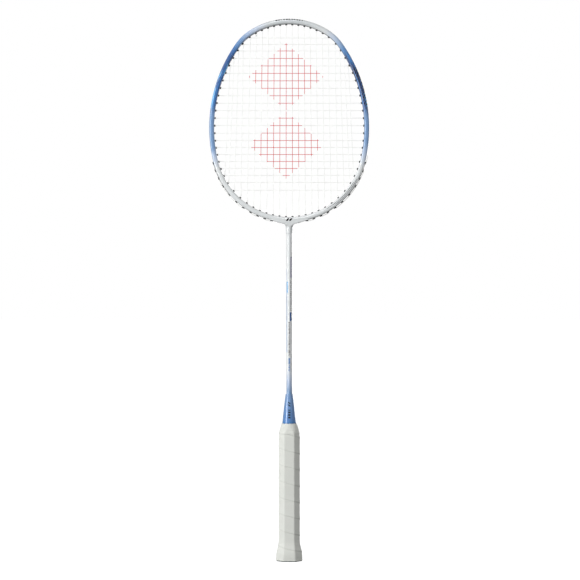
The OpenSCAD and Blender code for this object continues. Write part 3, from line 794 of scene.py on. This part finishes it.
# The outermost long strings share the cross strings' holes
MAIN_TIP = [turn_at(0, tip_gap * (k + 0.5)) for k in range(TIP_MAINS)]
MAIN_TIP += CROSS_TURNS[:MAIN_COUNT - TIP_MAINS]
MAIN_THROAT = [turn_at(0, throat_gap * (k + 0.5), False) for k in range(THROAT_MAINS)]
MAIN_THROAT += CROSS_TURNS[:THROAT_MAINS - MAIN_COUNT - 1:-1]


def hole(turn, side):
    """Where a long string bends into the hole at that turn."""
    return head_point(turn, BEND, STRING_Y, side)


def run_at(turn):
    return RUN_GROOVE if turn < SIDE_FROM else RUN_PLAIN


def step_turn(turn):
    return math.degrees(ROUND_IN / RADII[arc_of(turn)])


def sign(value):
    return 1 if value > 0 else -1


def way_out(a, b, run, y, side):
    """From inside the head at turn a, out through the hole and a little way towards turn b."""
    bent = a + sign(b - a) * step_turn(abs(a))
    return [head_point(abs(turn), out, y, side * sign(turn))
            for turn, out in ((a, BEND), (a, run - ROUND_IN), (bent, run))]


def loop_over(a, b, y, side):
    """Out through the hole at turn a, along the tube and in through the hole at b."""
    run = max(run_at(abs(a)), run_at(abs(b)))
    count = max(2, math.ceil(abs(b - a) / LOOP_STEP))
    turns = [a + (b - a) * i / count for i in range(1, count)]
    middle = [head_point(abs(turn), run, y, side * sign(turn)) for turn in turns]
    return way_out(a, b, run, y, side) + middle + way_out(b, a, run, y, side)[::-1]


def knot(start, end):
    """Twice round the string that runs from start to end."""
    along = (end - start).normalized()
    square = along.cross(Vector((0, 1, 0))).normalized()
    third = square.cross(along)
    reach, pitch, lead = STRING_D + 0.1 * MM, STRING_D + 0.12 * MM, 1.2 * MM
    return [start + along * (lead + pitch * a / 360) + reach * (sin(a) * square - cos(a) * third)
            for a in range(0, 721, 24)]


def tie_off(a, b, y0, y1, side):
    """Out at turn a, along the tube at depth y1 and in at turn b, where the string is knotted."""
    run = max(run_at(a), run_at(b))
    count = math.ceil(abs(b - a) / TIE_STEP)
    middle = [head_point(a + (b - a) * i / count, run, y1, side) for i in range(1, count)]
    if count < 3:
        middle = [head_point((a + b) / 2, run, y0, side)]
    return way_out(a, b, run, y0, side) + middle + way_out(b, a, run, -STRING_Y, side)[::-1]


def main_ends(column):
    """Both ends of a long string; columns count from the left, 0 to 21."""
    side = 1 if column >= MAIN_COUNT else -1
    k = column - MAIN_COUNT if side > 0 else MAIN_COUNT - 1 - column
    return hole(MAIN_TIP[k], side), hole(MAIN_THROAT[k], side)


def woven(start, end, spots, forwards):
    """The points of a run that passes each spot (share of the way, depth) in turn, in a smooth wave."""
    if not forwards:
        start, end, spots = end, start, [(1 - share, y) for share, y in reversed(spots)]
    stops = [(0.0, start.y)] + spots + [(1.0, end.y)]
    steps = 4
    points = []
    for (share_a, y_a), (share_b, y_b) in zip(stops, stops[1:]):
        for i in range(steps):
            f = (i + 1) / steps
            point = start.lerp(end, share_a + (share_b - share_a) * f)
            point.y = y_a + (y_b - y_a) * (1 - math.cos(math.pi * f)) / 2
            points.append(point)
    return points[:-1]


def crossings(column, row):
    """What a long string and a cross string share: in a list, as it is empty where they do not meet,
    the share of the way down the long one, the width, and 1 or -1 by which of them lies behind."""
    top, bottom = main_ends(column)
    share = (top.z - CROSS_Z[row]) / (top.z - bottom.z)
    width = top.lerp(bottom, share).x
    meet = NEAR_END < share < 1 - NEAR_END and abs(width) < head_point(CROSS_TURNS[row], BEND).x - MM
    return [(share, width, 1 if (column + row) % 2 == 0 else -1)] if meet else []


def main_run(column, downwards):
    spots = [(share, STRING_Y * behind)
             for row in range(CROSS_COUNT) for share, width, behind in crossings(column, row)]
    return woven(*main_ends(column), spots, downwards)


def cross_run(row, rightwards):
    reach = head_point(CROSS_TURNS[row], BEND).x
    spots = [((width + reach) / (2 * reach), -STRING_Y * behind)
             for column in range(2 * MAIN_COUNT) for share, width, behind in crossings(column, row)]
    left, right = [Vector((x, -STRING_Y, CROSS_Z[row])) for x in (-reach, reach)]
    return woven(left, right, spots, rightwards)


def main_route():
    """From the knot on the left over the tip's middle to the knot on the right."""
    halves = []
    for side in (1, -1):
        def column(k):
            return MAIN_COUNT + k if side > 0 else MAIN_COUNT - 1 - k
        half = [head_point(0, RUN_GROOVE, STRING_Y)]
        half += way_out(MAIN_TIP[0], -MAIN_TIP[0], RUN_GROOVE, STRING_Y, side)[::-1]
        for k in range(0, MAIN_COUNT - 2, 2):
            half += main_run(column(k), True)
            half += loop_over(MAIN_THROAT[k], MAIN_THROAT[k + 1], STRING_Y, side)
            half += main_run(column(k + 1), False)
            half += loop_over(MAIN_TIP[k + 1], MAIN_TIP[k + 2], STRING_Y, side)
        tie = THROAT_MAINS - 1
        half += main_run(column(MAIN_COUNT - 1), True)
        half += tie_off(MAIN_THROAT[-1], MAIN_THROAT[tie], STRING_Y, TIE_Y, side)
        halves.append(half + knot(hole(MAIN_THROAT[tie], side), hole(MAIN_TIP[tie], side)))
    return halves[1][:0:-1] + halves[0]


def cross_route():
    """Row by row down the head, from a knot near the tip to one near the throat, both on the left."""
    y = -STRING_Y
    tip_tie, throat_tie = TIP_MAINS - 1, THROAT_MAINS - 2
    route = tie_off(CROSS_TURNS[0], MAIN_TIP[tip_tie], y, y, -1)
    route = (route + knot(hole(MAIN_TIP[tip_tie], -1), hole(MAIN_THROAT[tip_tie], -1)))[::-1]
    for row in range(CROSS_COUNT - 1):
        side = 1 if row % 2 == 0 else -1
        route += cross_run(row, side > 0) + loop_over(CROSS_TURNS[row], CROSS_TURNS[row + 1], y, side)
    route += cross_run(CROSS_COUNT - 1, False)
    route += tie_off(CROSS_TURNS[-1], MAIN_THROAT[throat_tie], y, -TIE_Y, -1)
    return route + knot(hole(MAIN_THROAT[throat_tie], -1), hole(MAIN_TIP[throat_tie], -1))


def string_finish():
    """Braided nylon: translucent white, its translucency given as a painted glow, with two red diamonds
    inked across the middle of the head.
    """
    material, tree, shader = surface("string_nylon", Emission_Strength=0.2, Specular_IOR_Level=0.5,
                                     Coat_Weight=0.3, Coat_Roughness=0.2)
    place, (x, y, z) = object_place(tree)

    middle_x, half_wide, half_tall = -4.0, 47.0, 42.0

    def away(value, middle, half):
        return calc("DIVIDE", calc("ABSOLUTE", calc("SUBTRACT", value, middle)), half)

    def diamond(middle_z):
        beyond = calc("ADD", away(x, middle_x, half_wide), away(z, middle_z, half_tall))
        return calc("LESS_THAN", beyond, 1.0)
    ink = either(diamond(603.0), diamond(518.0))
    cloud = noise(place, 900.0, 3.0)
    cover = scaled(cloud, 0.3, 0.85)
    braid = put(tree, "ShaderNodeTexWave", {"Vector": place, "Scale": 900.0, "Distortion": 1.5},
                bands_direction="DIAGONAL").outputs["Fac"]
    thread = mixed(both(braid, 0.35), rgb(244, 245, 242), rgb(226, 227, 223))
    inked = mixed(both(ink, cover), thread, RED)
    # A painted glow: the nylon gives off a little light in its own colour, in place of light coming through
    # it from behind
    feed(shader, Base_Color=inked, Emission_Color=inked,
         Roughness=scaled(cloud, 0.2, 0.3), Normal=bumped(braid, 0.25, 0.03 * MM))
    return material


def string(name, route, material, node):
    """A drawn string along its route, made a mesh."""
    data = bpy.data.curves.new(name, "CURVE")
    data.dimensions = "3D"
    data.bevel_depth = STRING_D / 2
    data.bevel_resolution = 2
    data.use_fill_caps = True
    line = data.splines.new("POLY")
    line.points.add(len(route) - 1)
    for point, place in zip(line.points, route):
        point.co = (*place, 1)
    only(linked(name, data))
    bpy.ops.object.convert(target="MESH")
    obj = bpy.context.object
    closed(obj)
    smoothed(obj, 60)
    finished(obj, name, material, "string", node)


nylon = string_finish()
string("main_strings", main_route(), nylon, "main_string")
string("cross_strings", cross_route(), nylon, "cross_string")


# ---------------- grommets
def grommet_nylon():
    """Black moulded nylon, greyer where it is rubbed."""
    material, tree, shader = surface("grommet_nylon", Specular_IOR_Level=0.35)
    rubbed = use(WEAR, Vector=object_place(tree)[0], Scale=160.0)["Rubbed"]
    feed(shader, Base_Color=mixed(both(rubbed, 0.5), rgb(22, 23, 26), rgb(46, 47, 51)),
         Roughness=scaled(rubbed, 0.25, 0.38))
    return material


black_nylon = grommet_nylon()
for node in ("tip_grommet_strip", "left_grommet_strip", "right_grommet_strip", "left_throat_grommets",
             "right_throat_grommets"):
    coated(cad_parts[node], black_nylon)


# ---------------- handle
# The finished grip's eight-sided outline along the straight part of the handle, then what it loses
# to the band and the bed down to the wood
GRIP_W = 26.1 * MM
GRIP_D = 23.5 * MM
GRIP_BEVEL = 6.8 * MM
BAND_T = 1.8 * MM
BUTT_SWELL = 3.15 * MM
BUTT_RIM = 6 * MM
BUTT_HEIGHT = 25 * MM
NECK_LEN = 20 * MM
NECK_IN = 4.3 * MM
BEVEL_GROWTH = 2 - math.sqrt(2)
BED = 0.2 * MM
WOOD_X = GRIP_W / 2 - BAND_T - BED
WOOD_Y = GRIP_D / 2 - BAND_T - BED
WOOD_BEVEL = GRIP_BEVEL - BEVEL_GROWTH * (BAND_T + BED)
CORNER_R = 1.9 * MM
SOFT_R = 2.6 * MM       # how much rounder the corners are at the butt and at the neck
CORNER_STEPS = 4        # stretches round each corner
FLAT_STEPS = 5          # stretches along each flat
AROUND = 8 * (CORNER_STEPS + FLAT_STEPS)


def eased(share):
    return 0.5 + 0.5 * math.cos(math.pi * min(max(share, 0), 1))


def swell(height):
    narrowing = 1 - sin(90 * min(max((HANDLE_LEN - height) / NECK_LEN, 0), 1))
    return BUTT_SWELL * eased((height - BUTT_RIM) / (BUTT_HEIGHT - BUTT_RIM)) - NECK_IN * narrowing


def handle_point(step, out, height):
    """A point of the rounded eight-sided outline, counted round it anticlockwise from above."""
    corner, part = divmod(step % AROUND, CORNER_STEPS + FLAT_STEPS)
    softer = eased(height / BUTT_HEIGHT) + eased((HANDLE_LEN - height) / NECK_LEN)
    radius = CORNER_R + SOFT_R * softer * min(max(out / BAND_T, 0), 1)

    def rounded(corner, share):
        e = swell(height) + out - radius
        a, b, c = WOOD_X + e, WOOD_Y + e, WOOD_BEVEL + BEVEL_GROWTH * e
        x, y = [(a, c - b), (a, b - c), (a - c, b), (c - a, b), (-a, b - c), (-a, c - b), (c - a, -b),
                (a - c, -b)][corner % 8]
        angle = 45 * (corner - 1 + share)
        return Vector((x + radius * cos(angle), y + radius * sin(angle), height))
    if part <= CORNER_STEPS:
        return rounded(corner, part / CORNER_STEPS)
    return rounded(corner, 1).lerp(rounded(corner + 1, 0), (part - CORNER_STEPS) / FLAT_STEPS)


def grip_skin(name):
    """Soft white polyurethane: pebbled, with tiny pores, and greyed a little towards each lap with painted
    shade.
    """
    material, tree, shader = surface(name, Specular_IOR_Level=0.3, Sheen_Weight=0.15, Sheen_Roughness=0.5)
    place = object_place(tree)[0]
    grain = use(GRAIN, Vector=place, Scale=1500.0)
    rubbed = use(WEAR, Vector=place, Scale=22.0)["Rubbed"]
    # Painted shade: the skin greys a little near both edges of the band, where the laps step over each other
    lap = grey_ramp(uv_place(tree)[1],
                    [(0.0, 1), (0.015, 0.25), (0.05, 0), (0.94, 0), (0.98, 0.4), (1.0, 1)])
    clean = mixed(both(rubbed, 0.30), rgb(233, 235, 229), rgb(219, 222, 215))
    lap_painted_shade = mixed(both(lap, 0.14), clean, rgb(150, 156, 150))
    pebbles = bumped(grain["Height"], 0.35, 0.05 * MM)
    wrinkles = noise(stretched(place, 40.0, 420.0), 1.0, 2.0)
    feed(shader, Base_Color=mixed(both(grain["Pores"], 0.08), lap_painted_shade, rgb(170, 174, 168)),
         Roughness=scaled(rubbed, 0.12, 0.5),
         Normal=bumped(wrinkles, 0.5, 0.5 * MM, Normal=pebbles))
    return material


BAND_PITCH = 20.3 * MM
BAND_LAP = 2.6 * MM
LAP_STEP = 0.3 * MM
EDGE_T = 0.6 * MM
SQUEEZE = 0.12 * MM
BAND_WIDTH = BAND_PITCH + BAND_LAP


def pressed(height):
    """The first and last turns are cut off level, so what lies past the cut is pressed flat."""
    low, high = HANDLE_LOW + SQUEEZE, HANDLE_LEN - FIT - SQUEEZE
    if height < low:
        return low - SQUEEZE + SQUEEZE / (1 + (low - height) / BAND_LAP)
    if height > high:
        return high + SQUEEZE - SQUEEZE / (1 + (height - high) / BAND_LAP)
    return height


def band_section():
    """The band cut across: (along, out, share of the way across it), from its lower edge, which
    lies over the thinned upper edge of the turn below, and back along the wood."""
    top = BAND_T + LAP_STEP
    shape = [(0.0, BAND_T + 0.05 * MM), (0.0, top - 0.22 * MM), (0.12 * MM, top - 0.06 * MM),
             (0.35 * MM, top), (1.0 * MM, top - 0.01 * MM), (BAND_LAP, BAND_T + 0.16 * MM),
             (4.5 * MM, BAND_T + 0.07 * MM)]
    for share in (0.35, 0.5, 0.65, 0.8, 0.9):
        shape.append((BAND_PITCH * share, BAND_T + 0.05 * MM * math.sin(math.pi * share)))
    shape += [(BAND_PITCH - 0.9 * MM, BAND_T - 0.03 * MM), (BAND_PITCH - 0.3 * MM, BAND_T - 0.14 * MM),
              (BAND_PITCH + 0.1 * MM, BAND_T - 0.3 * MM), (BAND_WIDTH, EDGE_T), (BAND_WIDTH, 0.0)]
    across = [min(along / BAND_PITCH, 1.0) for along, out in shape]
    shape += [(BAND_PITCH * 0.6, 0.0), (1.2 * BAND_LAP, 0.0), (BAND_LAP, EDGE_T + 2 * FIT)]
    return [(along, out, share) for (along, out), share in zip(shape, across + [1.0, 0.5, 0.0])]


def grip_band():
    """The band winds up the wood clockwise, so its laps run down to the right."""
    section = band_section()
    count = len(section)
    start = HANDLE_LOW - BAND_WIDTH + 2 * BAND_LAP
    first_step = 3 * (CORNER_STEPS + FLAT_STEPS) + CORNER_STEPS // 2
    # How far round the outline each step lies, as a share of a whole turn
    outline = [handle_point(first_step - i, BAND_T, HANDLE_LEN / 2) for i in range(AROUND + 1)]
    strides = [(b - a).length for a, b in zip(outline, outline[1:])]
    travelled = [sum(strides[:i]) / sum(strides) for i in range(AROUND)]
    # The band starts a sixth of a turn early, so its end lies under the next turn
    early = AROUND // 6
    rings = early + math.ceil(AROUND * (HANDLE_LEN - BAND_LAP - start) / BAND_PITCH)
    deselect()
    bpy.ops.mesh.primitive_grid_add(x_subdivisions=rings - 1, y_subdivisions=count - 1, size=1)
    obj = bpy.context.object
    # The flat grid's rows become the band's cuts, each in its place along the winding
    points = obj.data.vertices
    order = sorted(range(len(points)), key=lambda i: (round(points[i].co.x, 7), round(points[i].co.y, 7)))
    spots = {}
    for number, index in enumerate(order):
        ring, part = divmod(number, count)
        ring -= early
        along, out, share = section[part]
        lowest = start + BAND_PITCH * (ring // AROUND + travelled[ring % AROUND])
        height = pressed(lowest + along)
        points[index].co = handle_point(first_step - ring, BED + out, height)
        spots[index] = (ring / AROUND, share)
    layer = obj.data.uv_layers.active or obj.data.uv_layers.new(name="UVMap")
    for loop in obj.data.loops:
        layer.data[loop.index].uv = spots[loop.vertex_index]
    # Join the section's last edge to its first, then close both ends
    editing(obj)
    bridge_long_edges(obj, order, count)
    closed(obj)
    smoothed(obj, 50)
    finished(obj, "grip_band", grip_skin("grip_polyurethane"), "grip", "grip_band")


def bridge_long_edges(obj, order, count):
    """In edit mode: joins the two long sides of the band's grid and fills its ends."""
    mesh = bmesh.from_edit_mesh(obj.data)
    mesh.verts.ensure_lookup_table()
    rings = len(order) // count
    for ring in range(rings - 1):
        a, b = order[ring * count], order[(ring + 1) * count]
        c, d = order[(ring + 2) * count - 1], order[(ring + 1) * count - 1]
        mesh.faces.new([mesh.verts[i] for i in (a, b, c, d)])
    bmesh.update_edit_mesh(obj.data)
    pick_open_edges(obj)
    bpy.ops.mesh.fill()


grip_band()

TAPE_H = 13 * MM
TAPE_T = 0.25 * MM


def finishing_tape():
    """Two turns of thin tape round the top of the grip, drawn into shallow level creases."""
    inner = BED + BAND_T + LAP_STEP + FIT
    levels = [(0.0, 0.0), (0.0, TAPE_T * 0.8), (0.15, TAPE_T)]
    for rise, crease in ((2.0, 0.0), (3.6, 0.02), (3.9, -0.10), (4.3, 0.03), (6.6, 0.0), (7.0, -0.07),
                         (7.4, 0.02), (9.8, 0.0), (10.1, -0.05), (10.5, 0.01), (12.6, 0.0)):
        levels.append((rise, TAPE_T + crease * MM))
    levels += [(12.9, TAPE_T * 0.8), (13.0, 0.0)]
    deselect()
    bpy.ops.mesh.primitive_circle_add(vertices=AROUND, radius=1)
    obj = bpy.context.object
    for step, point in enumerate(obj.data.vertices):
        point.co = handle_point(-step, inner, HANDLE_LEN - TAPE_H)
    editing(obj)
    for rise, out in levels[1:]:
        bpy.ops.mesh.extrude_region_move()
        mesh = bmesh.from_edit_mesh(obj.data)
        for point in mesh.verts:
            if point.select:
                point.co = handle_point(nearest_step(point.co), inner + out,
                                        HANDLE_LEN - TAPE_H + rise * MM)
        bmesh.update_edit_mesh(obj.data)
    bridge_open_edges(obj)
    closed(obj)
    smoothed(obj, 50)
    set_uv(obj, lambda point, middle: (math.atan2(point.y, point.x) / math.tau, 0.5))
    finished(obj, "finishing_tape", grip_skin("tape_skin"), "tape", "finishing_tape")


def nearest_step(place):
    """The step of the outline that lies nearest to the direction of place from the axis."""
    level = place.to_2d()

    def miss(step):
        spot = handle_point(step, 0, place.z).to_2d()
        return (level - spot * (level.length / spot.length)).length
    return min(range(AROUND), key=miss)


finishing_tape()


# ---------------- hidden and small pieces
def plain_finish(node, name, light, dark, scale, roughness, **sockets):
    """A finish with a soft cloud of two shades."""
    material, tree, shader = surface(name, **sockets)
    wear = use(WEAR, Vector=object_place(tree)[0], Scale=scale)
    feed(shader, Base_Color=mixed(wear["Rubbed"], rgb(*light), rgb(*dark)),
         Roughness=scaled(wear["Scuffs"], 0.2, roughness))
    coated(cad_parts[node], material)


plain_finish("end_cap", "cap_plastic", (52, 72, 70), (38, 54, 53), 90.0, 0.4)
plain_finish("end_badge", "badge_metal", (196, 199, 202), (168, 172, 178), 120.0, 0.28, Metallic=0.9)
plain_finish("handle_core", "basswood", (206, 176, 128), (186, 152, 104), 35.0, 0.6)
plain_finish("t_plug", "plug_carbon", (58, 60, 64), (40, 42, 46), 80.0, 0.4)


# ---------------- floor and backdrop
def shown(tree, seen, light):
    """One shader as the camera sees it, and another one for the light on the racket."""
    way = put(tree, "ShaderNodeLightPath").outputs["Is Camera Ray"]
    return put(tree, "ShaderNodeMixShader", {0: way, 1: light, 2: seen}).outputs[0]


def floor():
    """A plain pale floor. It looks white, but throws only a little light back at the racket."""
    bpy.ops.mesh.primitive_plane_add(size=40, location=(0, 0, -0.0005))
    obj = bpy.context.object
    obj.name = "floor"
    material = bpy.data.materials.new("floor_white")
    material.use_nodes = True
    tree = material.node_tree
    tree.nodes.clear()
    matt = put(tree, "ShaderNodeBsdfDiffuse", {"Color": rgb(150, 150, 150)}).outputs[0]
    glow = put(tree, "ShaderNodeEmission", {"Color": WHITE, "Strength": 0.98}).outputs[0]
    seen = put(tree, "ShaderNodeAddShader", {0: matt, 1: glow}).outputs[0]
    put(tree, "ShaderNodeOutputMaterial", {"Surface": shown(tree, seen, matt)})
    obj.data.materials.append(material)


def surroundings():
    """White to the camera, and a softer grey as light on the racket."""
    world = bpy.data.worlds.new("studio")
    bpy.context.scene.world = world
    world.use_nodes = True
    tree = world.node_tree
    tree.nodes.clear()
    seen, light = [put(tree, "ShaderNodeBackground", {"Color": WHITE, "Strength": strength}).outputs[0]
                   for strength in (1.0, 0.32)]
    put(tree, "ShaderNodeOutputWorld", {"Surface": shown(tree, seen, light)})


deselect()
floor()
surroundings()
bpy.context.scene.view_settings.view_transform = "Standard"
